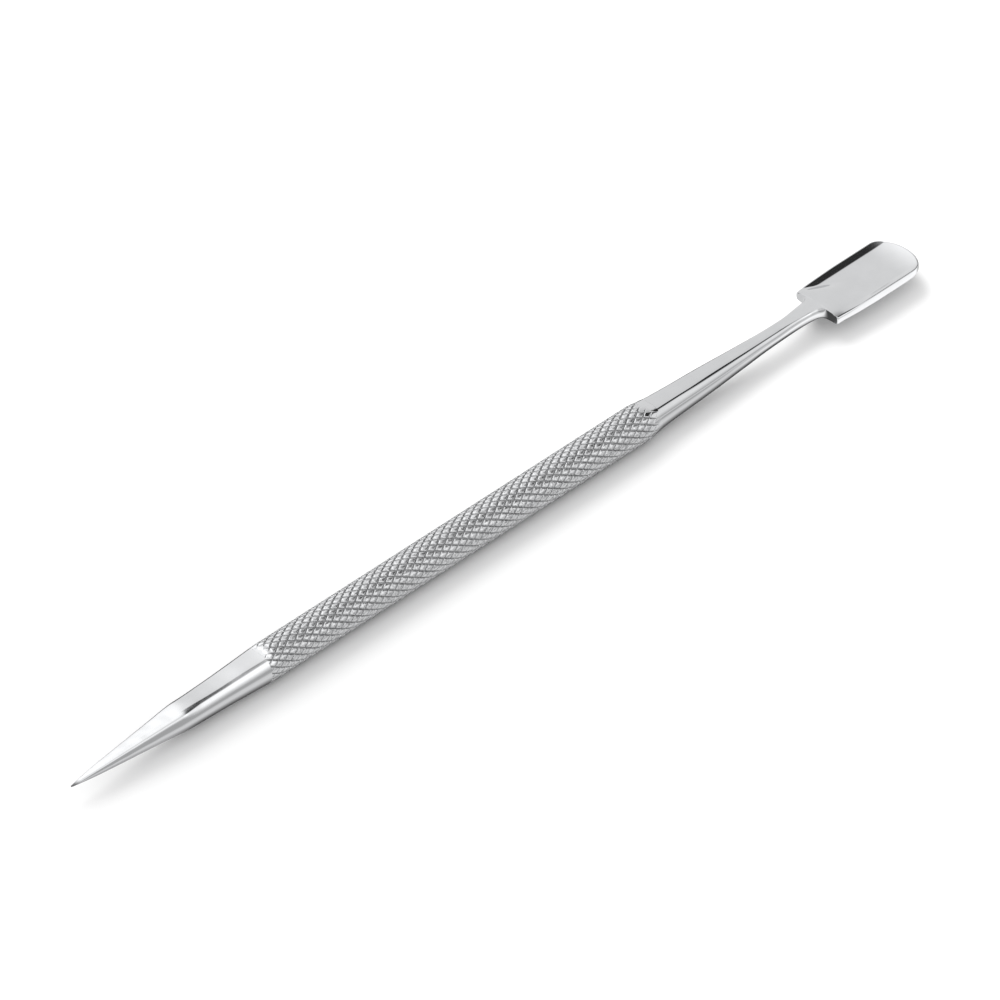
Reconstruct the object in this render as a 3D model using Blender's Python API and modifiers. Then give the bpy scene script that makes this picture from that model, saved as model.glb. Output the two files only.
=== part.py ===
"""Double-ended stainless steel cuticle pusher.

Three pieces: a round handle with a blind socket in each end, a pusher end
(tang, ground neck and spoon-shaped blade) and a pick end (tang, two-stage
taper and point). The tool lies along +X, pick to blade, with its ground
flats up and the handle resting on z = 0. The origin is at the middle of the
footprint. The knurl isn't cut here: the handle is its enclosing prism.
"""

import math

import bmesh
import bpy

MM = 0.001  # everything below is in millimetres until it is built

# Stations along the tool, measured from the pick's tip.
LENGTH = 134.8
CONE_END = 18.8  # the sharp cone meets the shallower taper
PICK_SHOULDER = 30.7  # pick end meets the handle
NECK_SHOULDER = 92.8  # handle meets the neck
NECK_WAIST = 114.5  # thinnest part of the neck
BLADE_START = 120.0  # square shoulders of the blade
BLADE_ROUND = 131.9  # the blade's rounded end begins
END_GAP = 0.15  # half of the gap between two end faces

# Handle.
HANDLE_R = 2.35  # to its flats, over the knurl's crests
SIDES = 24
AXIS_Z = HANDLE_R  # a flat of the prism lies on z = 0
PICK_SHOULDER_R = 2.22
NECK_SHOULDER_R = 2.08
NECK_LEAD_IN = 2.6  # length over which the neck's taper starts on the handle
PICK_LEAD_IN = 0.8

# Tangs and their sockets.
TANG_R = 1.00
SOCKET_R = 1.32
TANG_LENGTH = 10.0
SOCKET_DEPTH = 10.5

# Pick end.
TIP_R = 0.14
CONE_END_R = 1.77
PICK_FLAT_AT_CONE_END = 1.44  # height of the ground flat above the axis
PICK_FLAT_AT_SHOULDER = 1.78
PICK_FLAT_AT_TIP = 0.12

# Neck.
WAIST_R = 1.07
NECK_FLAT_AT_SHOULDER = 1.70
WAIST_FLAT = 0.98
ROOT_FLAT = 0.93

# Blade.
SHOULDER_HALF = 3.43
BLADE_HALF = 3.60
END_REACH = LENGTH - BLADE_ROUND
PLATE_BOTTOM = -0.55
PLATE_TOP = 0.80
TROUGH_R = 9.5
TROUGH_FLOOR = 0.08

STEEL = (0.62, 0.62, 0.63, 1.0)
KNURLED_STEEL = (0.50, 0.50, 0.51, 1.0)


def clear_scene():
    for obj in list(bpy.data.objects):
        bpy.data.objects.remove(obj, do_unlink=True)


def collection(name):
    made = bpy.data.collections.new(name)
    bpy.context.scene.collection.children.link(made)
    return made


def along(station):
    """X in metres of a station measured from the pick's tip."""
    return (station - LENGTH / 2) * MM


def steel(name, colour, roughness):
    material = bpy.data.materials.new(name)
    material.use_nodes = True
    shader = material.node_tree.nodes["Principled BSDF"]
    shader.inputs["Base Color"].default_value = colour
    shader.inputs["Metallic"].default_value = 1.0
    shader.inputs["Roughness"].default_value = roughness
    return material


def turned(name, profile, into):
    """A solid of revolution about the tool's axis.

    profile is (station, radius) from the blade side towards the pick side,
    and starts and ends on the axis.
    """
    mesh = bpy.data.meshes.new(name)
    points = [(radius * MM, 0.0, along(station)) for station, radius in profile]
    edges = [(i, i + 1) for i in range(len(points) - 1)]
    mesh.from_pydata(points, edges, [])
    obj = bpy.data.objects.new(name, mesh)
    into.objects.link(obj)
    # Half a step about the axis puts a flat of the prism underneath, and the
    # quarter turn lays the axis along +X.
    obj.rotation_mode = "QUATERNION"
    lay = bpy_quaternion((0.0, 1.0, 0.0), math.pi / 2)
    half_step = bpy_quaternion((0.0, 0.0, 1.0), math.pi / SIDES)
    obj.rotation_quaternion = lay @ half_step
    obj.location = (0.0, 0.0, AXIS_Z * MM)
    screw = obj.modifiers.new("turn", "SCREW")
    screw.axis = "Z"
    screw.angle = 2 * math.pi
    screw.steps = SIDES
    screw.render_steps = SIDES
    screw.use_merge_vertices = True
    screw.merge_threshold = 0.00001
    screw.use_smooth_shade = True
    return obj


def bpy_quaternion(axis, angle):
    from mathutils import Quaternion

    return Quaternion(axis, angle)


def outline_solid(name, points, thickness, into):
    """A closed flat outline in XY, given thickness about its plane."""
    curve = bpy.data.curves.new(name, "CURVE")
    curve.dimensions = "2D"
    curve.fill_mode = "BOTH"
    curve.extrude = thickness / 2 * MM
    spline = curve.splines.new("POLY")
    spline.points.add(len(points) - 1)
    for point, (x, y) in zip(spline.points, points):
        point.co = (x, y, 0.0, 1.0)
    spline.use_cyclic_u = True
    guide = bpy.data.objects.new(name + "_outline", curve)
    into.objects.link(guide)
    bpy.context.view_layer.update()
    graph = bpy.context.evaluated_depsgraph_get()
    mesh = bpy.data.meshes.new_from_object(guide.evaluated_get(graph))
    bpy.data.objects.remove(guide, do_unlink=True)
    shape = bmesh.new()
    shape.from_mesh(mesh)
    bmesh.ops.remove_doubles(shape, verts=shape.verts, dist=0.000001)
    bmesh.ops.recalc_face_normals(shape, faces=shape.faces)
    shape.to_mesh(mesh)
    shape.free()
    obj = bpy.data.objects.new(name, mesh)
    into.objects.link(obj)
    return obj


def as_cutter(obj):
    obj.hide_render = True
    obj.display_type = "WIRE"
    return obj


def boolean(obj, other, operation, name):
    modifier = obj.modifiers.new(name, "BOOLEAN")
    modifier.operation = operation
    modifier.solver = "EXACT"
    modifier.object = other
    return modifier


def radius_with_flats(radius):
    """The prism's corner radius for a radius measured to its flats."""
    return radius / math.cos(math.pi / SIDES)


def make_handle(into):
    low, high = PICK_SHOULDER + END_GAP, NECK_SHOULDER - END_GAP
    r = radius_with_flats
    obj = turned(
        "knurled_handle",
        [
            (high - SOCKET_DEPTH, 0.0),
            (high - SOCKET_DEPTH, r(SOCKET_R)),
            (high, r(SOCKET_R)),
            (high, r(NECK_SHOULDER_R)),
            (high - NECK_LEAD_IN, r(HANDLE_R)),
            (low + PICK_LEAD_IN, r(HANDLE_R)),
            (low, r(PICK_SHOULDER_R)),
            (low, r(SOCKET_R)),
            (low + SOCKET_DEPTH, r(SOCKET_R)),
            (low + SOCKET_DEPTH, 0.0),
        ],
        into,
    )
    obj.data.materials.append(steel("knurled_steel", KNURLED_STEEL, 0.38))
    return obj


def side_cutter(name, points, into):
    """A prism across the tool: a closed outline of (station, height) pairs."""
    obj = outline_solid(
        name, [(along(a), (u + AXIS_Z) * MM) for a, u in points], 12.0, into
    )
    obj.rotation_euler = (math.pi / 2, 0.0, 0.0)
    return as_cutter(obj)


def make_pick_end(into, cutters):
    shoulder = PICK_SHOULDER - END_GAP
    obj = turned(
        "pick_end",
        [
            (shoulder + TANG_LENGTH, 0.0),
            (shoulder + TANG_LENGTH, TANG_R - 0.2),
            (shoulder + TANG_LENGTH - 0.4, TANG_R),
            (shoulder, TANG_R),
            (shoulder, PICK_SHOULDER_R),
            (CONE_END, CONE_END_R),
            (0.35, TIP_R + 0.02),
            (0.08, 0.10),
            (0.0, 0.0),
        ],
        into,
    )
    flat = side_cutter(
        "pick_flat_cutter",
        [
            (-1.0, PICK_FLAT_AT_TIP - 0.07),
            (CONE_END, PICK_FLAT_AT_CONE_END),
            (shoulder + 3.0, PICK_FLAT_AT_SHOULDER + 0.09),
            (shoulder + 3.0, 5.0),
            (-1.0, 5.0),
        ],
        cutters,
    )
    boolean(obj, flat, "DIFFERENCE", "flat")
    obj.data.materials.append(steel("ground_steel", STEEL, 0.18))
    return obj


def blade_outline():
    """Half outline of the flared root and the blade, tip last."""
    half = [
        (113.2, 0.40),
        (114.7, 0.64),
        (116.0, 0.84),
        (117.3, 1.01),
        (118.5, 1.19),
        (119.3, 1.36),
        (119.75, 1.55),
        (119.95, 1.82),
    ]
    # Square shoulder with a small outer corner radius.
    corner = 0.22
    half.append((BLADE_START, 2.1))
    for k in range(5):
        turn = math.pi / 2 * k / 4
        half.append(
            (
                BLADE_START + corner * (1 - math.cos(turn)),
                SHOULDER_HALF - corner * (1 - math.sin(turn)),
            )
        )
    for k in range(1, 9):
        share = k / 8
        half.append(
            (
                BLADE_START + corner + share * (BLADE_ROUND - BLADE_START - corner),
                SHOULDER_HALF
                + (BLADE_HALF - SHOULDER_HALF) * math.sin(share * math.pi / 2),
            )
        )
    for k in range(1, 16):
        turn = math.pi / 2 * k / 16
        half.append(
            (
                BLADE_ROUND + END_REACH * math.sin(turn),
                BLADE_HALF * math.cos(turn),
            )
        )
    return half


def make_pusher_end(into, cutters):
    shoulder = NECK_SHOULDER + END_GAP
    obj = turned(
        "pusher_end",
        [
            (121.8, 0.0),
            (121.6, 0.35),
            (119.5, 0.62),
            (117.3, 0.86),
            (NECK_WAIST, WAIST_R),
            (110.5, 1.16),
            (106.0, 1.39),
            (98.0, 1.80),
            (shoulder, NECK_SHOULDER_R),
            (shoulder, TANG_R),
            (shoulder - TANG_LENGTH + 0.4, TANG_R),
            (shoulder - TANG_LENGTH, TANG_R - 0.2),
            (shoulder - TANG_LENGTH, 0.0),
        ],
        into,
    )
    half = blade_outline()
    outline = (
        [(along(a), w * MM) for a, w in half]
        + [(along(LENGTH), 0.0)]
        + [(along(a), -w * MM) for a, w in reversed(half)]
    )
    plate = outline_solid(
        "blade_plate", outline, PLATE_TOP + 0.13 - PLATE_BOTTOM, cutters
    )
    plate.location = (0, 0, (AXIS_Z + (PLATE_TOP + 0.13 + PLATE_BOTTOM) / 2) * MM)
    as_cutter(plate)
    boolean(obj, plate, "UNION", "blade")

    # Ground flat along the neck, running out level over the blade's root, and
    # dropping to the blade's rim past the shoulders.
    flat = side_cutter(
        "neck_flat_cutter",
        [
            (shoulder - 1.0, NECK_FLAT_AT_SHOULDER + 0.04),
            (shoulder, NECK_FLAT_AT_SHOULDER),
            (102.0, 1.41),
            (108.0, 1.17),
            (NECK_WAIST, WAIST_FLAT),
            (118.0, ROOT_FLAT),
            (BLADE_START, ROOT_FLAT - 0.01),
            (122.4, PLATE_TOP),
            (BLADE_ROUND, PLATE_TOP),
            (LENGTH + 1.0, 0.45),
            (LENGTH + 1.0, 5.0),
            (shoulder - 1.0, 5.0),
        ],
        cutters,
    )
    boolean(obj, flat, "DIFFERENCE", "flat")

    # Hollow of the blade: a spindle whose axis lies above the blade.
    spindle_axis = TROUGH_R + TROUGH_FLOOR
    profile = [
        (LENGTH + 2.0, 0.0),
        (LENGTH + 2.0, TROUGH_R - 0.42),
        (LENGTH, TROUGH_R - 0.20),
        (133.2, TROUGH_R - 0.06),
        (131.0, TROUGH_R),
        (125.5, TROUGH_R - 0.02),
        (123.5, TROUGH_R - 0.16),
        (121.8, TROUGH_R - 0.46),
        (120.4, TROUGH_R - 0.90),
        (120.4, 0.0),
    ]
    trough = turned("trough_cutter", profile, cutters)
    trough.location = (0.0, 0.0, (AXIS_Z + spindle_axis) * MM)
    trough.modifiers["turn"].steps = 144
    trough.modifiers["turn"].render_steps = 144
    trough.rotation_quaternion = bpy_quaternion((0.0, 1.0, 0.0), math.pi / 2)
    as_cutter(trough)
    boolean(obj, trough, "DIFFERENCE", "trough")

    # Underside thinned towards the rounded end.
    relief = side_cutter(
        "underside_cutter",
        [
            (130.0, PLATE_BOTTOM - 0.02),
            (LENGTH - 0.9, -0.34),
            (LENGTH + 1.0, -0.05),
            (LENGTH + 1.0, -2.0),
            (130.0, -2.0),
        ],
        cutters,
    )
    boolean(obj, relief, "DIFFERENCE", "relief")
    obj.data.materials.append(steel("polished_steel", STEEL, 0.12))
    return obj


def main():
    clear_scene()
    pieces = collection("cuticle_pusher")
    cutters = collection("cutters")
    make_handle(pieces)
    make_pick_end(pieces, cutters)
    make_pusher_end(pieces, cutters)


main()
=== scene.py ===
"""Looks of the double-ended cuticle pusher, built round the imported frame.

Three fine meshes stand for the three CAD nodes: a diamond-knurled handle, a
ground neck with a scooped blade, and a tapered pick. Lengths in the geometry
functions are millimetres, with stations measured from the pick's tip and
heights from the handle's axis; they become metres in the row frame in mm().
"""

import math

import bmesh
import bpy
import numpy as np
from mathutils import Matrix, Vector


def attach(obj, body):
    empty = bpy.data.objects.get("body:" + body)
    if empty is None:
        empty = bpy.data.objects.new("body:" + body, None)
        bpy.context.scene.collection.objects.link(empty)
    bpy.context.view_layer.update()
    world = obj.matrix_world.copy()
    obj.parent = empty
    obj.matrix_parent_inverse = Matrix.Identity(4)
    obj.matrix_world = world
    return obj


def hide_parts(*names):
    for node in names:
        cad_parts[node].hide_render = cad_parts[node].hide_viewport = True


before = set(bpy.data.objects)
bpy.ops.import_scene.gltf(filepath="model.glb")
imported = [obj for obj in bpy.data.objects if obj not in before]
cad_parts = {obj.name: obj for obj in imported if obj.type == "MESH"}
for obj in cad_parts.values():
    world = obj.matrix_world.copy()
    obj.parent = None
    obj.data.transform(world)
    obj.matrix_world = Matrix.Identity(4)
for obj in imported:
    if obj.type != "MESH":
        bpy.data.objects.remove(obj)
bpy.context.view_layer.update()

# ---------------------------------------------------------------- dimensions
LENGTH = 134.8
HANDLE_R = 2.35
AXIS_Z = 2.35
SEAM_PICK = 29.8
SEAM_NECK = 92.8
SEAM_GAP = 0.004

STARTS = 16  # knurl starts each way
HELIX = math.radians(30.0)
GROOVE_HALF = 0.125  # half width of a groove, in knurl pitches
GROOVE_DEPTH = 0.20


def mm(points):
    """Station, across and height in millimetres to the row frame in metres."""
    p = np.asarray(points, float)
    out = np.empty(p.shape, float)
    out[..., 0] = (p[..., 0] - LENGTH / 2) * 0.001
    out[..., 1] = p[..., 1] * 0.001
    out[..., 2] = (p[..., 2] + AXIS_Z) * 0.001
    return out


def ease(x, a, b):
    """0 before a, 1 after b, smooth between."""
    t = np.clip((np.asarray(x, float) - a) / (b - a), 0.0, 1.0)
    return t * t * (3 - 2 * t)


def through(knots):
    """A smooth curve through (x, y) knots that doesn't overshoot them."""
    xs = np.array([k[0] for k in knots], float)
    ys = np.array([k[1] for k in knots], float)
    h = np.diff(xs)
    d = np.diff(ys) / h
    m = np.zeros(len(xs))
    m[0], m[-1] = d[0], d[-1]
    for i in range(1, len(xs) - 1):
        if d[i - 1] * d[i] > 0:
            w1, w2 = 2 * h[i] + h[i - 1], h[i] + 2 * h[i - 1]
            m[i] = (w1 + w2) / (w1 / d[i - 1] + w2 / d[i])

    def f(x):
        x = np.clip(np.asarray(x, float), xs[0], xs[-1])
        i = np.clip(np.searchsorted(xs, x, side="right") - 1, 0, len(xs) - 2)
        t = (x - xs[i]) / h[i]
        return (
            (1 + 2 * t) * (1 - t) ** 2 * ys[i]
            + t * (1 - t) ** 2 * h[i] * m[i]
            + t * t * (3 - 2 * t) * ys[i + 1]
            + t * t * (t - 1) * h[i] * m[i + 1]
        )

    return f


def smin(a, b, k):
    """The smaller of a and b, with the corner between them rounded over k."""
    h = np.clip(0.5 + 0.5 * (b - a) / k, 0.0, 1.0)
    return b * (1 - h) + a * h - k * h * (1 - h)


# Ground radius of the round parts, and what share of it the top flat keeps.
GROUND_R = through(
    [
        (0.0, 0.085),
        (0.5, 0.16),
        (1.9, 0.355),
        (4.07, 0.60),
        (6.8, 0.855),
        (9.5, 1.09),
        (12.2, 1.325),
        (14.9, 1.575),
        (17.3, 1.80),
        (18.5, 1.85),
        (19.7, 1.88),
        (21.7, 1.935),
        (23.8, 2.00),
        (25.8, 2.09),
        (27.8, 2.185),
        (29.9, 2.29),
        (30.8, 2.345),
        (31.8, 2.43),
        (34.0, 2.75),
        (87.0, 2.75),
        (90.2, 2.40),
        (91.0, 2.31),
        (92.0, 2.185),
        (92.9, 2.085),
        (93.8, 2.012),
        (97.9, 1.80),
        (102.1, 1.618),
        (106.3, 1.376),
        (107.8, 1.295),
        (110.5, 1.15),
        (113.3, 1.075),
        (116.5, 1.06),
    ]
)
FLAT_SHARE = through(
    [
        (0.0, 0.99),
        (3.0, 0.965),
        (10.0, 0.955),
        (14.0, 0.945),
        (16.2, 0.936),
        (18.5, 0.920),
        (20.8, 0.900),
        (22.5, 0.893),
        (25.8, 0.893),
        (29.6, 0.878),
        (30.4, 0.880),
        (31.1, 0.960),
        (31.7, 1.06),
        (33.4, 1.08),
        (89.4, 1.08),
        (90.4, 0.985),
        (91.4, 0.93),
        (92.2, 0.90),
        (93.0, 0.888),
        (97.9, 0.888),
        (102.1, 0.90),
        (106.3, 0.897),
        (110.5, 0.886),
        (113.3, 0.88),
        (118.0, 0.88),
    ]
)
# How far the neck's section sits above the handle's axis.
NECK_LIFT = through(
    [(92.8, 0.0), (97.9, 0.03), (102.1, 0.055), (107.8, 0.095), (110.5, 0.143), (113.3, 0.165), (116.0, 0.165)]
)
FLAT_CROWN = 2.5  # the flat's own radius, in tool radii: it is slightly crowned


def round_radius(a, turn):
    """Ground surface's distance from the axis at a station and an angle from
    the top, for the round stretches with their crowned top flat."""
    r = GROUND_R(a)
    share = FLAT_SHARE(a)
    big = r * FLAT_CROWN
    c2 = r * share - big
    cos = np.cos(turn)
    d2 = c2 * cos + np.sqrt(np.maximum(big**2 - (c2 * np.sin(turn)) ** 2, 0))
    ridge = 0.018 + 0.012 * r + 0.075 * ease(a, 90.5, 92.5) * (1 - ease(a, 95.5, 99.5))
    return smin(r + 0 * d2, d2, ridge)


# --------------------------------------------------------------------- meshes
def mesh_object(name, verts, faces, smooth=True):
    mesh = bpy.data.meshes.new(name)
    mesh.from_pydata([tuple(v) for v in verts], [], [tuple(f) for f in faces])
    mesh.validate()
    mesh.update()
    obj = bpy.data.objects.new(name, mesh)
    bpy.context.scene.collection.objects.link(obj)
    if smooth:
        for p in mesh.polygons:
            p.use_smooth = True
    return obj


def sharpen_caps(obj, stations):
    """Marks the rims of the flat end caps at these stations as sharp edges."""
    mesh = obj.data
    where = [(a - LENGTH / 2) * 0.001 for a in stations]
    rim = set()
    for f in mesh.polygons:
        if abs(f.normal.x) < 0.999:
            continue
        xs = [mesh.vertices[i].co.x for i in f.vertices]
        for x in where:
            if max(abs(v - x) for v in xs) < 2e-6:
                rim.update(tuple(sorted(k)) for k in f.edge_keys)
                f.use_smooth = False
    for e in mesh.edges:
        if tuple(sorted(e.key)) in rim:
            e.use_edge_sharp = True


def weld(obj, dist=1e-7):
    b = bmesh.new()
    b.from_mesh(obj.data)
    bmesh.ops.remove_doubles(b, verts=b.verts, dist=dist)
    bmesh.ops.dissolve_degenerate(b, edges=b.edges, dist=dist * 0.5)
    bmesh.ops.recalc_face_normals(b, faces=b.faces)
    b.to_mesh(obj.data)
    b.free()
    for p in obj.data.polygons:
        p.use_smooth = True


def knurl_drop(p, q):
    """How far the knurled surface lies under its crests, in millimetres.
    p and q count the knurl's grooves of each hand, which lie at whole
    numbers."""
    drop = np.zeros(np.broadcast(p, q).shape)
    for g in (p, q):
        away = np.abs(g - np.round(g))
        v = np.clip(1 - away / GROOVE_HALF, 0, 1)
        v = np.where(v > 0.82, 0.82 + (v - 0.82) * 0.35, v)
        v = v / (0.82 + 0.18 * 0.35)
        dome = 0.016 * ((0.5 - away) * 2) ** 2
        drop = np.maximum(drop, GROOVE_DEPTH * v) + dome
    return drop


def make_handle():
    around = 2 * math.pi * HANDLE_R / STARTS
    along = around / math.tan(HELIX)
    share = [0.0, 0.055, 0.115, 0.22, 0.5, 0.78, 0.885, 0.945]
    n = len(share)
    count = STARTS * n
    a0, a1 = SEAM_PICK + SEAM_GAP, SEAM_NECK - SEAM_GAP

    def level(i):
        return i // n + share[i % n]

    lows, highs, start, total = [], [], [], 0
    for i in range(count):
        p = level(i)
        lo = int(math.floor(p + 2 * a0 / along)) * n - n
        hi = int(math.ceil(p + 2 * a1 / along)) * n + n
        lows.append(lo)
        highs.append(hi)
        start.append(total)
        total += hi - lo + 1
    P = np.empty(total)
    Q = np.empty(total)
    for i in range(count):
        js = np.arange(lows[i], highs[i] + 1)
        q = np.floor_divide(js, n) + np.array(share)[np.mod(js, n)]
        s = start[i]
        P[s : s + len(js)] = level(i)
        Q[s : s + len(js)] = q
    station = along * (Q - P) / 2
    turn = 2 * math.pi * (P + Q) / 2 / STARTS
    drop = knurl_drop(P, Q)
    crest = HANDLE_R - drop
    ground = round_radius(station, turn)
    radius = smin(crest, ground, 0.012)
    pts = np.stack([station, -radius * np.sin(turn), radius * np.cos(turn)], -1)
    verts = mm(pts)

    faces = []
    for i in range(count):
        k = (i + 1) % count
        shift = count if i + 1 == count else 0
        lo = max(lows[i], lows[k] + shift)
        hi = min(highs[i], highs[k] + shift)
        for j in range(lo, hi):
            v00 = start[i] + j - lows[i]
            v10 = start[k] + j - shift - lows[k]
            faces.append((v00, v00 + 1, v10 + 1, v10))
    obj = mesh_object("knurled_grip", verts, faces)
    # Painted shade: how deep each point lies in a groove, used to darken the colour there for the shade that
    # falls in the grooves; there is none where the taper was ground.
    painted_groove_shade = np.clip(drop / GROOVE_DEPTH, 0, 1) * ease(ground - crest, -0.05, 0.12)
    mask = obj.data.attributes.new("groove_shade", "FLOAT", "POINT")
    mask.data.foreach_set("value", painted_groove_shade.astype(np.float32))
    # Where the taper was ground away the surface is bright, not satin.
    bare = 1 - ease(ground - crest, -0.03, 0.05)
    mask = obj.data.attributes.new("ground", "FLOAT", "POINT")
    mask.data.foreach_set("value", bare.astype(np.float32))
    b = bmesh.new()
    b.from_mesh(obj.data)
    bmesh.ops.recalc_face_normals(b, faces=b.faces)
    for station_cut, sign in ((a0, -1), (a1, 1)):
        cut = bmesh.ops.bisect_plane(
            b,
            geom=b.verts[:] + b.edges[:] + b.faces[:],
            plane_co=((station_cut - LENGTH / 2) * 0.001, 0, AXIS_Z * 0.001),
            plane_no=(sign, 0, 0),
            clear_outer=True,
            dist=1e-8,
        )
        rim = [e for e in cut["geom_cut"] if isinstance(e, bmesh.types.BMEdge)]
        rim = [e for e in rim if e.is_boundary]
        made = bmesh.ops.edgeloop_fill(b, edges=rim)
        for f in made["faces"]:
            f.smooth = False
    bmesh.ops.remove_doubles(b, verts=b.verts, dist=5e-8)
    bmesh.ops.recalc_face_normals(b, faces=b.faces)
    b.to_mesh(obj.data)
    b.free()
    sharpen_caps(obj, (a0, a1))
    return obj


def make_pick():
    """The tapered pick: rings of the ground section, closer at the tip."""
    a1 = SEAM_PICK - SEAM_GAP
    tip = [0.0, 0.012, 0.03, 0.055, 0.09, 0.14, 0.2, 0.3]
    a = np.concatenate([tip, np.linspace(0.42, a1, 236)])
    turns = np.linspace(0, 2 * math.pi, 192, endpoint=False)
    A, T = np.meshgrid(a, turns, indexing="ij")
    R = round_radius(A, T)
    # The point is ground to a tiny rounded end.
    end = np.sqrt(np.clip(1 - (1 - np.clip(A / 0.09, 0, 1)) ** 2, 0, 1))
    R = R * end
    # Uneven hand grinding of the cone: shallow lengthwise facets and waves.
    hand = ease(A, 0.5, 4.0) * (1 - ease(A, 15.5, 19.5))
    wave = (
        0.010 * np.sin(3 * T + 0.9 + 0.11 * A)
        + 0.006 * np.sin(5 * T + 2.1 - 0.23 * A)
        + 0.0035 * np.sin(2 * T + 1.9 * A)
        + 0.0022 * np.sin(4 * T - 3.1 * A + 1.0)
    )
    R = R + hand * wave * (0.25 + 0.75 * R / 1.8)
    # The cone was dressed on a stone in two strokes that meet in soft ridges.
    for side in (1, -1):
        turn = np.angle(np.exp(1j * (T - side * math.radians(47))))
        R = R + 0.062 * R * np.exp(-((turn / 0.24) ** 2)) * hand
    pts = np.stack([A, -R * np.sin(T), R * np.cos(T)], -1)
    rows, cols = A.shape
    verts = mm(pts).reshape(-1, 3).tolist()
    faces = []
    for i in range(rows - 1):
        for j in range(cols):
            k = (j + 1) % cols
            faces.append(
                (i * cols + j, i * cols + k, (i + 1) * cols + k, (i + 1) * cols + j)
            )
    last = (rows - 1) * cols
    faces.append(tuple(last + j for j in range(cols)))
    obj = mesh_object("pick_point", verts, faces)
    weld(obj, 3e-7)
    sharpen_caps(obj, (a1,))
    return obj


# ------------------------------------------------------------- blade and neck
BLADE_A = 120.0
FLARE = through(
    [
        (113.0, 0.0),
        (113.3, 0.0),
        (114.6, 0.02),
        (116.0, 0.09),
        (117.3, 0.20),
        (118.5, 0.34),
        (119.2, 0.50),
        (119.6, 0.78),
        (119.85, 1.24),
        (119.97, 1.95),
    ]
)
# The far side flares sooner than the near one.
FLARE_FAR = through(
    [(113.0, 0.0), (115.0, 0.06), (117.3, 0.28), (118.5, 0.34), (119.2, 0.30), (119.7, 0.14), (119.97, 0.0)]
)
N_TOP, N_SIDE, N_BOTTOM = 90, 84, 40


def spread(n, power=1.0):
    t = np.linspace(0, 1, n)
    return 1 - (1 - t) ** power


def neck_half(a, far):
    """Half section of the neck and its flare: top centre, over the ridge,
    round the side to the bottom centre."""
    r = float(GROUND_R(a))
    grow = float(ease(a, 112.5, 119.4))
    lift = float(NECK_LIFT(a)) * (1 - grow)
    share = float(FLAT_SHARE(a))
    out = float(FLARE(a)) if a > 113.0 else 0.0
    if far and a > 113.0:
        out += float(FLARE_FAR(a))
    b = r * (1 - grow) + 0.72 * grow
    h1 = r * (1 - grow) + 1.02 * grow
    h2 = r * (1 - grow) + 0.52 * grow
    power = 2.0 + 0.6 * grow
    top = (r * share + lift) * (1 - grow) + 0.93 * grow
    crown = r * FLAT_CROWN * (1 + 6 * grow)
    bar = float(ease(a, 115.5, 119.3))

    def upper(w):
        arc = top - crown + np.sqrt(np.maximum(crown**2 - w**2, 0))
        return arc * (1 - bar) + blade_top(BLADE_A, w, far) * bar

    # The ridge is where the flat meets the side arc.
    chi = np.linspace(0, math.pi / 2, 4000)
    w = out + b * np.sin(chi) ** (2 / power)
    u = lift + h1 * np.cos(chi) ** (2 / power)
    under = np.nonzero(u <= upper(w))[0]
    k = under[0] if len(under) else 0
    chi0 = chi[k]
    wr, ur = float(w[k]), float(u[k])
    tw = wr * spread(N_TOP, 1.6)
    tu = upper(tw)
    tu[-1] = ur
    sc = chi0 + (math.pi * 0.94 - chi0) * np.linspace(0, 1, N_SIDE + 1)[1:]
    s, c = np.sin(sc), np.cos(sc)
    sw = out + b * np.abs(s) ** (2 / power)
    su = lift + np.where(c > 0, h1, h2) * np.sign(c) * np.abs(c) ** (2 / power)
    bw = sw[-1] * (1 - spread(N_BOTTOM + 1)[1:])
    bottom = lift - h2
    v = bw / max(sw[-1], 1e-9)
    bu = bottom + (su[-1] - bottom) * v**2
    return (
        np.concatenate([tw, sw, bw]),
        np.concatenate([tu, su, bu]),
    )


# Plan outline: straight shoulder line, slightly widening sides, elliptical end.
BLADE_HALF = 3.58
END_REACH = 2.9
END_POWER = 2.12
CORNER = 0.2
SIDE_HALF = through(
    [(119.9, 3.40), (120.0, 3.40), (122.0, 3.47), (124.0, 3.53), (126.5, 3.58), (131.9, 3.58)]
)
UNDERSIDE = through(
    [(119.9, -0.50), (121.0, -0.54), (124.0, -0.66), (130.0, -0.68), (133.0, -0.46), (134.8, -0.17)]
)
UNDER_ROUND = through([(119.9, 0.28), (121.5, 0.40), (130.0, 0.42), (133.0, 0.28), (134.8, 0.12)])
RIM_ROUND = 0.23
FLOOR_U = 0.16

# The trough's rise from its middle line: a nearly flat floor, a foot, a wall.
_y = np.linspace(0, 4.0, 801)
_tilt = np.radians(
    5.0 * np.clip(_y / 2.6, 0, 1) + 19.0 * ease(_y, 2.45, 2.85) + 1.0 * np.clip(_y - 3.0, 0, 1)
)
_rise = np.concatenate([[0], np.cumsum(np.tan((_tilt[1:] + _tilt[:-1]) / 2) * np.diff(_y))])


def blade_top(x, y, far):
    """Height of the blade's upper face: a crowned bar at the shoulder that is
    scooped into a shallow trough. The far wall starts at the shoulder, the
    near one runs out more slowly."""
    y = np.abs(y)
    crown = 0.93 - 0.46 * np.clip((y - 0.9) / 2.55, 0, 1.2) ** 1.8
    trough = FLOOR_U + np.interp(y, _y, _rise)
    inner = 1 - np.clip(y / BLADE_HALF, 0, 1) ** 2
    reach = 1.1 + 6.8 * inner**1.5 if far else 5.9 + 2.0 * inner
    t = np.clip((x - 119.95) / reach, 0, 1)
    mix = t**3 * (10 - 15 * t + 6 * t * t)
    rise = 0.5 * 0.021 * np.clip(x - 130.8, 0, None) ** 2
    return crown * (1 - mix) + trough * mix + rise


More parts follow.
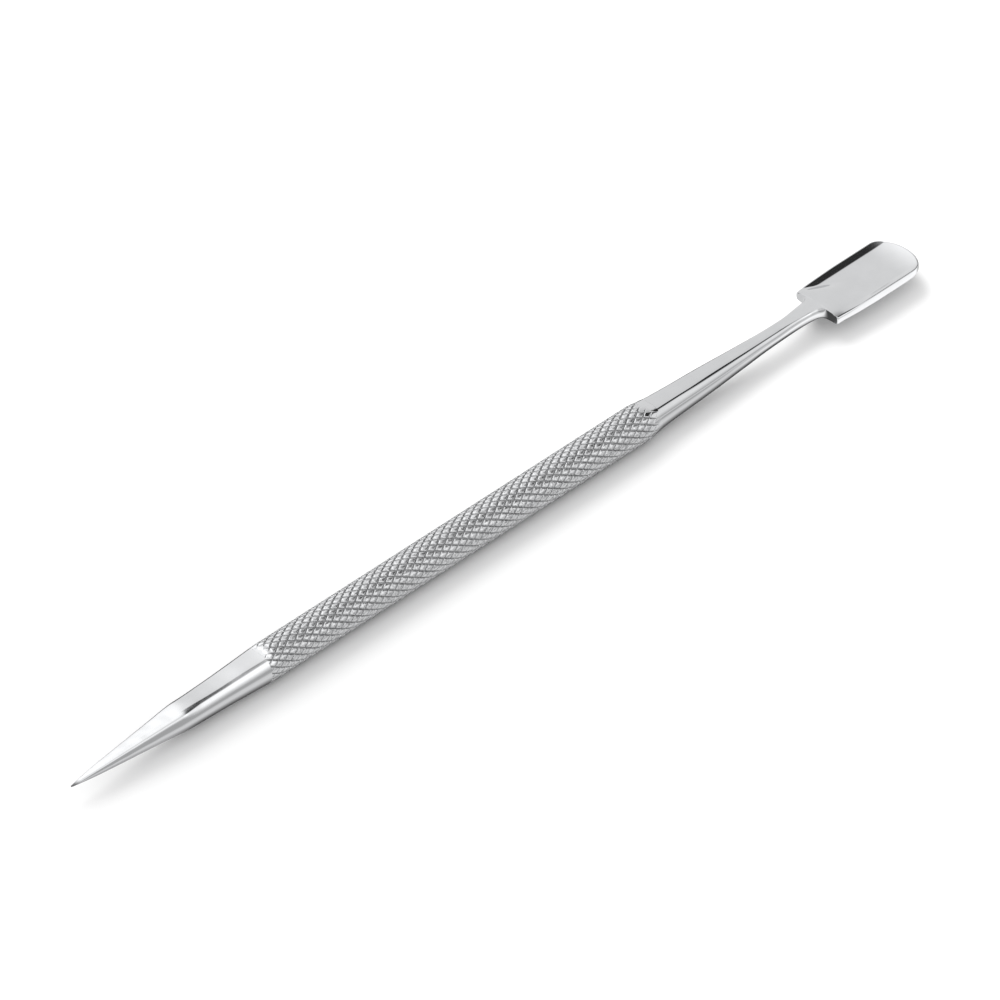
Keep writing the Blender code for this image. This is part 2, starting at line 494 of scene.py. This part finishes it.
def blade_row(cx, cy, ox, oy, grow, far):
    """Half section of the blade along the line from its middle (cx, cy) to a
    point of the outline (ox, oy). grow turns millimetres in from the outline
    into a share of that line."""
    v = spread(N_TOP, 1.9)
    x = cx + (ox - cx) * v
    y = cy + (oy - cy) * v
    inward = (1 - v) / grow
    k = np.clip(1 - inward / RIM_ROUND, 0, 1)
    top = blade_top(x, y, far) - RIM_ROUND * (1 - np.sqrt(1 - k * k))
    rim = float(top[-1])
    low = float(UNDERSIDE(ox))
    r = float(UNDER_ROUND(ox))
    n_wall = N_SIDE // 2
    n_arc = N_SIDE - n_wall
    wall = np.linspace(0, 1, n_wall + 1)[1:]
    wz = rim + (low + r - rim) * wall
    bulge = 0.02 * np.sin(np.pi * wall) * (ox < 132.0)
    wd = -bulge
    arc = np.linspace(0, math.pi / 2, n_arc + 1)[1:]
    az = low + r * (1 - np.sin(arc))
    ad = r * (1 - np.cos(arc))
    sz = np.concatenate([wz, az])
    sv = 1 - np.concatenate([wd, ad]) * grow
    bv = sv[-1] * (1 - spread(N_BOTTOM + 1)[1:])
    bz = np.full_like(bv, low)
    # Under the end the flat underside belongs to the station, not the outline.
    bx = cx + (ox - cx) * bv
    side_low = low * (1 - (1 - bv / sv[-1])) + UNDERSIDE(bx) * (1 - bv / sv[-1])
    bz = side_low
    vv = np.concatenate([v, sv, bv])
    zz = np.concatenate([top, sz, bz])
    return cx + (ox - cx) * vv, cy + (oy - cy) * vv, zz


def make_pusher():
    a0 = SEAM_NECK + SEAM_GAP
    neck_a = np.concatenate(
        [
            np.linspace(a0, 112.0, 120),
            np.linspace(112.0, 118.8, 60)[1:],
            np.linspace(118.8, 119.6, 12)[1:],
            np.linspace(119.6, 119.97, 12)[1:],
        ]
    )

    def side_rows(far):
        rows = []
        for a in neck_a:
            w, u = neck_half(a, far)
            rows.append((np.full_like(w, a), w, u))
        # Rounded plan corner, then the sides.
        for turn in np.linspace(0, math.pi / 2, 10):
            x = BLADE_A + CORNER * (1 - math.cos(turn))
            half = float(SIDE_HALF(x)) - CORNER * (1 - math.sin(turn))
            rows.append(blade_row(x, 0.0, x, half, 1 / half, far))
        near = BLADE_A + CORNER + 0.03
        for x in np.concatenate(
            [np.linspace(near, 126.5, 90), np.linspace(126.5, 131.9, 46)[1:]]
        ):
            half = float(SIDE_HALF(x))
            rows.append(blade_row(x, 0.0, x, half, 1 / half, far))
        cx = LENGTH - END_REACH
        for beta in np.linspace(0, math.pi / 2, 80)[1:]:
            s = math.sin(beta) ** (2 / END_POWER)
            c = max(math.cos(beta), 0.0) ** (2 / END_POWER)
            grow = math.hypot(
                s ** (END_POWER - 1) / END_REACH, c ** (END_POWER - 1) / BLADE_HALF
            )
            rows.append(
                blade_row(cx, 0.0, cx + END_REACH * s, BLADE_HALF * c, grow, far)
            )
        return rows

    rows = side_rows(False)
    far = [(x, -w, u) for x, w, u in side_rows(True)[:-1]][::-1]
    P = np.stack([np.stack([x, -w, u], -1) for x, w, u in rows + far], 0)
    # Neck rows only: a small rounding of the ridges across the section.
    n_neck = len(neck_a)
    for part in (slice(0, n_neck), slice(len(P) - n_neck, len(P))):
        for _ in range(14):
            Q = P[part]
            inner = (Q[:, :-2] + 2 * Q[:, 1:-1] + Q[:, 2:]) / 4
            P[part, 1:-1] = inner
        # The ridges are softer where the neck leaves the grip.
        soft = (1 - ease(P[part, :1, 0], 95.5, 99.5))[..., None]
        for _ in range(60):
            Q = P[part]
            inner = (Q[:, :-2] + 2 * Q[:, 1:-1] + Q[:, 2:]) / 4
            P[part, 1:-1] += soft * (inner - Q[:, 1:-1])
    n_rows, n_cols = P.shape[:2]
    verts = mm(P).reshape(-1, 3).tolist()
    faces = []
    for i in range(n_rows - 1):
        for j in range(n_cols - 1):
            v = i * n_cols + j
            faces.append((v, v + 1, v + n_cols + 1, v + n_cols))
    # The seam face is closed by the first and last rows, its two halves.
    last = (n_rows - 1) * n_cols
    faces.append(
        tuple(range(n_cols)) + tuple(last + j for j in range(n_cols - 1, -1, -1))
    )
    obj = mesh_object("pusher_blade", verts, faces)
    weld(obj, 3e-7)
    sharpen_caps(obj, (a0,))
    return obj


# ------------------------------------------------------------------ materials
def nodes_of(material):
    material.use_nodes = True
    tree = material.node_tree
    return tree, tree.nodes, tree.links, tree.nodes["Principled BSDF"]


def multiplied(nodes, links, a, b):
    mix = nodes.new("ShaderNodeMix")
    mix.data_type = "RGBA"
    mix.blend_type = "MULTIPLY"
    mix.inputs["Factor"].default_value = 1.0
    colours = [s for s in mix.inputs if s.type == "RGBA"]
    links.new(a, colours[0])
    links.new(b, colours[1])
    return [s for s in mix.outputs if s.type == "RGBA"][0]


def steel(name, colour, roughness, lines=None, grain=None, speckle=None, groove_shade=None, point=None):
    """Stainless steel. lines is (scale vector, bump distance, strength) for
    grinding lines, grain the same for a fine satin, speckle darkens pits."""
    material = bpy.data.materials.new(name)
    tree, nodes, links, shader = nodes_of(material)
    shader.inputs["Metallic"].default_value = 1.0
    where = nodes.new("ShaderNodeTexCoord")
    # Slow variation of the polish.
    cloud = nodes.new("ShaderNodeTexNoise")
    cloud.inputs["Scale"].default_value = 420.0
    cloud.inputs["Detail"].default_value = 3.0
    links.new(where.outputs["Object"], cloud.inputs["Vector"])
    tone = nodes.new("ShaderNodeValToRGB")
    tone.color_ramp.elements[0].position = 0.3
    tone.color_ramp.elements[1].position = 0.7
    low = tuple(c * 0.965 for c in colour)
    tone.color_ramp.elements[0].color = (*low, 1)
    tone.color_ramp.elements[1].color = (*colour, 1)
    links.new(cloud.outputs["Fac"], tone.inputs["Fac"])
    base = tone.outputs["Color"]
    rough = nodes.new("ShaderNodeMapRange")
    rough.inputs["From Min"].default_value = 0.3
    rough.inputs["From Max"].default_value = 0.7
    rough.inputs["To Min"].default_value = roughness * 0.8
    rough.inputs["To Max"].default_value = roughness * 1.25
    rough_from = cloud.outputs["Fac"]
    previous = None
    if lines:
        scale, distance, strength = lines
        squeeze = nodes.new("ShaderNodeMapping")
        squeeze.inputs["Scale"].default_value = scale
        links.new(where.outputs["Object"], squeeze.inputs["Vector"])
        hair = nodes.new("ShaderNodeTexNoise")
        hair.inputs["Scale"].default_value = 1.0
        hair.inputs["Detail"].default_value = 4.0
        hair.inputs["Roughness"].default_value = 0.65
        links.new(squeeze.outputs["Vector"], hair.inputs["Vector"])
        bump = nodes.new("ShaderNodeBump")
        bump.inputs["Strength"].default_value = strength
        bump.inputs["Distance"].default_value = distance
        links.new(hair.outputs["Fac"], bump.inputs["Height"])
        previous = bump
        rough_from = hair.outputs["Fac"]
    if grain:
        scale, distance, strength = grain
        fine = nodes.new("ShaderNodeTexNoise")
        fine.inputs["Scale"].default_value = scale
        fine.inputs["Detail"].default_value = 3.0
        links.new(where.outputs["Object"], fine.inputs["Vector"])
        bump = nodes.new("ShaderNodeBump")
        bump.inputs["Strength"].default_value = strength
        bump.inputs["Distance"].default_value = distance
        links.new(fine.outputs["Fac"], bump.inputs["Height"])
        if previous:
            links.new(previous.outputs["Normal"], bump.inputs["Normal"])
        previous = bump
    links.new(rough_from, rough.inputs["Value"])
    if groove_shade:
        ground = nodes.new("ShaderNodeAttribute")
        ground.attribute_name = "ground"
        satin = nodes.new("ShaderNodeMath")
        satin.operation = "SUBTRACT"
        satin.inputs[0].default_value = 1.0
        links.new(ground.outputs["Fac"], satin.inputs[1])
        blend = nodes.new("ShaderNodeMix")
        links.new(satin.outputs[0], blend.inputs["Factor"])
        blend.inputs["A"].default_value = 0.11
        links.new(rough.outputs["Result"], blend.inputs["B"])
        links.new(blend.outputs["Result"], shader.inputs["Roughness"])
        if grain:
            links.new(satin.outputs[0], bump.inputs["Strength"])
    else:
        links.new(rough.outputs["Result"], shader.inputs["Roughness"])
    if speckle:
        amount, scale = speckle
        spots = nodes.new("ShaderNodeTexNoise")
        spots.inputs["Scale"].default_value = scale
        spots.inputs["Detail"].default_value = 2.0
        links.new(where.outputs["Object"], spots.inputs["Vector"])
        ramp = nodes.new("ShaderNodeValToRGB")
        ramp.color_ramp.elements[0].position = 0.36
        ramp.color_ramp.elements[1].position = 0.52
        ramp.color_ramp.elements[0].color = (1 - amount,) * 3 + (1,)
        ramp.color_ramp.elements[1].color = (1, 1, 1, 1)
        links.new(spots.outputs["Fac"], ramp.inputs["Fac"])
        speckled = multiplied(nodes, links, base, ramp.outputs["Color"])
        if groove_shade:
            choose = nodes.new("ShaderNodeMix")
            choose.data_type = "RGBA"
            links.new(satin.outputs[0], choose.inputs["Factor"])
            pair = [s for s in choose.inputs if s.type == "RGBA"]
            pair[0].default_value = (0.64, 0.645, 0.655, 1)
            links.new(speckled, pair[1])
            base = [s for s in choose.outputs if s.type == "RGBA"][0]
        else:
            base = speckled
    if groove_shade:
        # Painted shade: the colour is darkened towards the bottom of the knurl's grooves, where shade falls.
        mask = nodes.new("ShaderNodeAttribute")
        mask.attribute_name = "groove_shade"
        ramp = nodes.new("ShaderNodeValToRGB")
        ramp.color_ramp.elements[0].position = 0.25
        ramp.color_ramp.elements[1].position = 0.90
        ramp.color_ramp.elements[0].color = (1, 1, 1, 1)
        ramp.color_ramp.elements[1].color = (groove_shade,) * 3 + (1,)
        links.new(mask.outputs["Fac"], ramp.inputs["Fac"])
        base = multiplied(nodes, links, base, ramp.outputs["Color"])
    if point:
        split = nodes.new("ShaderNodeSeparateXYZ")
        links.new(where.outputs["Object"], split.inputs["Vector"])
        end = nodes.new("ShaderNodeMapRange")
        end.interpolation_type = "SMOOTHSTEP"
        end.inputs["From Min"].default_value = (0.25 - LENGTH / 2) * 0.001
        end.inputs["From Max"].default_value = (1.5 - LENGTH / 2) * 0.001
        end.inputs["To Min"].default_value = point
        end.inputs["To Max"].default_value = 1.0
        links.new(split.outputs["X"], end.inputs["Value"])
        base = multiplied(nodes, links, base, end.outputs["Result"])
    links.new(base, shader.inputs["Base Color"])
    if previous:
        links.new(previous.outputs["Normal"], shader.inputs["Normal"])
    return material


# ---------------------------------------------------------------------- build
grip = make_handle()
pick = make_pick()
blade = make_pusher()

grip.data.materials.append(
    steel(
        "knurled_steel",
        (0.69, 0.695, 0.705),
        0.27,
        grain=(5200.0, 0.000020, 0.6),
        speckle=(0.38, 4200.0),
        # colour of the painted shade at the bottom of the knurl's grooves
        groove_shade=0.62,
    )
)
blade.data.materials.append(
    steel(
        "polished_steel",
        (0.64, 0.645, 0.655),
        0.08,
        lines=((160.0, 9000.0, 9000.0), 0.000004, 0.12),
    )
)
pick.data.materials.append(
    steel(
        "ground_steel",
        (0.64, 0.645, 0.655),
        0.11,
        lines=((5200.0, 420.0, 420.0), 0.000004, 0.14),
        point=0.22,
    )
)

for piece, node, slot in (
    (grip, "knurled_handle", "knurled_steel"),
    (blade, "pusher_end", "polished_steel"),
    (pick, "pick_end", "ground_steel"),
):
    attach(piece, "root")
    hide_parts(node)

# ----------------------------------------------------------------- the studio
bpy.ops.mesh.primitive_circle_add(vertices=96, radius=7.5, fill_type="NGON")
floor = bpy.context.object
floor.name = "studio_floor"
floor_paint = bpy.data.materials.new("studio_white")
tree, nodes, links, shader = nodes_of(floor_paint)
shader.inputs["Base Color"].default_value = (0.90, 0.90, 0.90, 1)
shader.inputs["Roughness"].default_value = 0.9
shader.inputs["Specular IOR Level"].default_value = 0.1
# Painted reflection: in the steel, the floor is replaced by an emitting sheet, painted as a lit sheet on the
# near side and as the unlit gap under and behind the tool.
place = nodes.new("ShaderNodeNewGeometry")
axes = nodes.new("ShaderNodeSeparateXYZ")
links.new(place.outputs["Position"], axes.inputs["Vector"])


def step(axis, low, high, out_low, out_high):
    n = nodes.new("ShaderNodeMapRange")
    n.interpolation_type = "SMOOTHSTEP"
    n.inputs["From Min"].default_value = low
    n.inputs["From Max"].default_value = high
    n.inputs["To Min"].default_value = out_low
    n.inputs["To Max"].default_value = out_high
    links.new(axes.outputs[axis], n.inputs["Value"])
    return n.outputs["Result"]


def combine(op, a, b):
    n = nodes.new("ShaderNodeMath")
    n.operation = op
    for socket, value in zip(n.inputs, (a, b)):
        if isinstance(value, (int, float)):
            socket.default_value = value
        else:
            links.new(value, socket)
    return n.outputs[0]


lit = combine("MULTIPLY", step("Y", -0.0046, -0.0012, 1.0, 0.0), step("Y", -0.0125, -0.0060, 0.55, 1.0))
lit = combine("MULTIPLY", lit, step("X", 0.040, 0.054, 0.85, 1.40))
behind = step("Y", 0.0300, 0.1200, 0.0, 0.50)
by_blade = combine("MULTIPLY", step("Y", 0.0015, 0.0045, 0.0, 0.8), step("X", 0.045, 0.049, 0.0, 1.0))
by_point = combine("MULTIPLY", step("X", -0.054, -0.047, 0.45, 0.0), step("Y", -0.0046, -0.0012, 0.0, 1.0))
both = combine("ADD", combine("ADD", lit, combine("MAXIMUM", behind, by_blade)), combine("ADD", by_point, 0.09))
# Painted reflection: an emission that only glossy rays see.
painted_reflection_sheet = nodes.new("ShaderNodeEmission")
links.new(both, painted_reflection_sheet.inputs["Strength"])
ray = nodes.new("ShaderNodeLightPath")
either = nodes.new("ShaderNodeMixShader")
links.new(ray.outputs["Is Glossy Ray"], either.inputs["Fac"])
links.new(shader.outputs[0], either.inputs[1])
links.new(painted_reflection_sheet.outputs[0], either.inputs[2])
links.new(either.outputs[0], nodes["Material Output"].inputs["Surface"])
floor.data.materials.append(floor_paint)


def world_studio():
    """A white studio: brighter to the pick's side, with a dark gap between
    the overhead light and the near side light."""
    world = bpy.data.worlds.new("studio")
    bpy.context.scene.world = world
    world.use_nodes = True
    tree = world.node_tree
    nodes, links = tree.nodes, tree.links
    nodes.clear()
    out = nodes.new("ShaderNodeOutputWorld")
    where = nodes.new("ShaderNodeTexCoord")
    split = nodes.new("ShaderNodeSeparateXYZ")
    links.new(where.outputs["Generated"], split.inputs["Vector"])

    def math_node(op, a, b=None, clamp=False):
        n = nodes.new("ShaderNodeMath")
        n.operation = op
        n.use_clamp = clamp
        for socket, value in zip(n.inputs, (a, b)):
            if value is None:
                continue
            if isinstance(value, (int, float)):
                socket.default_value = value
            else:
                links.new(value, socket)
        return n.outputs[0]

    def smooth(value, low, high, out_low=0.0, out_high=1.0):
        n = nodes.new("ShaderNodeMapRange")
        n.interpolation_type = "SMOOTHSTEP"
        n.inputs["From Min"].default_value = low
        n.inputs["From Max"].default_value = high
        n.inputs["To Min"].default_value = out_low
        n.inputs["To Max"].default_value = out_high
        links.new(value, n.inputs["Value"])
        return n.outputs["Result"]

    x, y, z = split.outputs
    minus_y = math_node("MULTIPLY", y, -1.0)
    # Angle round the tool's axis, from overhead towards the near side.
    roll = math_node("ARCTAN2", minus_y, z)
    deg = math_node("MULTIPLY", roll, 180 / math.pi)
    base = math_node("MULTIPLY", smooth(x, 0.36, 0.565, 1.75, 0.97), smooth(x, -0.05, 0.28, 0.56, 1.0))
    # Dark beyond the blade's end, where no light stands.
    base = math_node("MULTIPLY", base, smooth(x, 0.74, 0.92, 1.0, 0.22))
    # Slow fall towards the gap.
    fall = smooth(deg, -36.0, -4.0, 1.0, 0.92)
    gap_in = smooth(deg, -18.0, 0.0)
    gap_out = smooth(deg, 38.0, 47.0, 1.0, 0.0)
    gap = math_node("MULTIPLY", gap_in, gap_out)
    gap_x = smooth(math_node("ABSOLUTE", x), 0.40, 0.51)
    gap = math_node("MULTIPLY", gap, gap_x)
    gap_left = math_node("SUBTRACT", 1.0, math_node("MULTIPLY", gap, 0.96))
    side_in = smooth(deg, 38.0, 47.0)
    side_out = smooth(deg, 60.0, 94.0, 1.0, 0.0)
    side = math_node("MULTIPLY", side_in, side_out)
    side_x = smooth(x, 0.42, 0.66, 0.55, 0.20)
    side = math_node("MULTIPLY", side, side_x)
    level = math_node("MULTIPLY", base, fall)
    level = math_node("MULTIPLY", level, gap_left)
    level = math_node("ADD", level, side)
    # A darker line along the near side's horizon.
    horizon = smooth(deg, 64.0, 96.0, 1.0, 0.56)
    level = math_node("MULTIPLY", level, horizon)

    # Less light from the near left.
    near_left = math_node(
        "MULTIPLY", smooth(x, 0.39, 0.48, 1.0, 0.0), smooth(deg, 8.0, 36.0)
    )
    level = math_node(
        "MULTIPLY", level, math_node("SUBTRACT", 1.0, math_node("MULTIPLY", near_left, 0.36))
    )

    path = nodes.new("ShaderNodeLightPath")
    seen = nodes.new("ShaderNodeBackground")
    seen.inputs["Color"].default_value = (1, 1, 1, 1)
    seen.inputs["Strength"].default_value = 1.05
    glossy = nodes.new("ShaderNodeBackground")
    glossy.inputs["Color"].default_value = (1, 1, 1, 1)
    links.new(level, glossy.inputs["Strength"])
    fill = nodes.new("ShaderNodeBackground")
    fill.inputs["Color"].default_value = (1, 1, 1, 1)
    fill.inputs["Strength"].default_value = 0.97
    pick_fill = nodes.new("ShaderNodeMixShader")
    links.new(path.outputs["Is Diffuse Ray"], pick_fill.inputs["Fac"])
    links.new(glossy.outputs[0], pick_fill.inputs[1])
    links.new(fill.outputs[0], pick_fill.inputs[2])
    pick_seen = nodes.new("ShaderNodeMixShader")
    links.new(path.outputs["Is Camera Ray"], pick_seen.inputs["Fac"])
    links.new(pick_fill.outputs[0], pick_seen.inputs[1])
    links.new(seen.outputs[0], pick_seen.inputs[2])
    links.new(pick_seen.outputs[0], out.inputs["Surface"])


world_studio()

key_data = bpy.data.lights.new("key", "AREA")
key_data.shape = "DISK"
key_data.size = 0.060
key_data.energy = 0.027
key = bpy.data.objects.new("key", key_data)
bpy.context.scene.collection.objects.link(key)
key.location = (0.062, 0.055, 0.062)
key.rotation_euler = (
    (key.location - Vector((0.042, 0.0, 0.0))).to_track_quat("Z", "Y").to_euler()
)
key.visible_glossy = False
key.visible_camera = False

back_data = bpy.data.lights.new("back", "SUN")
back_data.energy = 0.85
back_data.angle = math.radians(40)
back_light = bpy.data.objects.new("back", back_data)
bpy.context.scene.collection.objects.link(back_light)
toward = Vector((0.12, 0.66, 0.74)).normalized()
back_light.rotation_euler = toward.to_track_quat("Z", "Y").to_euler()
back_light.visible_glossy = False

# ----------------------------------------------------------------- the camera
AZIMUTH, ELEVATION = math.radians(-45.0), math.radians(39.84)
MM_PER_PIXEL = 0.1140
LENS = 1400.0
cam_data = bpy.data.cameras.new("camera")
cam_data.lens = LENS
cam_data.sensor_width = 36.0
cam = bpy.data.objects.new("camera", cam_data)
bpy.context.scene.collection.objects.link(cam)
back = Vector(
    (
        math.sin(AZIMUTH) * math.cos(ELEVATION),
        -math.cos(AZIMUTH) * math.cos(ELEVATION),
        math.sin(ELEVATION),
    )
)
right = Vector((math.cos(AZIMUTH), math.sin(AZIMUTH), 0))
up = back.cross(right)
middle = Vector((0, 0, AXIS_Z * 0.001))
aim = middle + (right * 7.35 + up * 16.35) * MM_PER_PIXEL * 0.001
distance = 1000 * MM_PER_PIXEL * 0.001 / 36.0 * LENS
cam.location = aim + back * distance
cam.rotation_mode = "QUATERNION"
cam.rotation_quaternion = back.to_track_quat("Z", "Y")
cam_data.clip_start = 0.1
cam_data.clip_end = 20.0
bpy.context.scene.camera = cam

bpy.context.scene.view_settings.view_transform = "Standard"
bpy.context.scene.view_settings.look = "None"
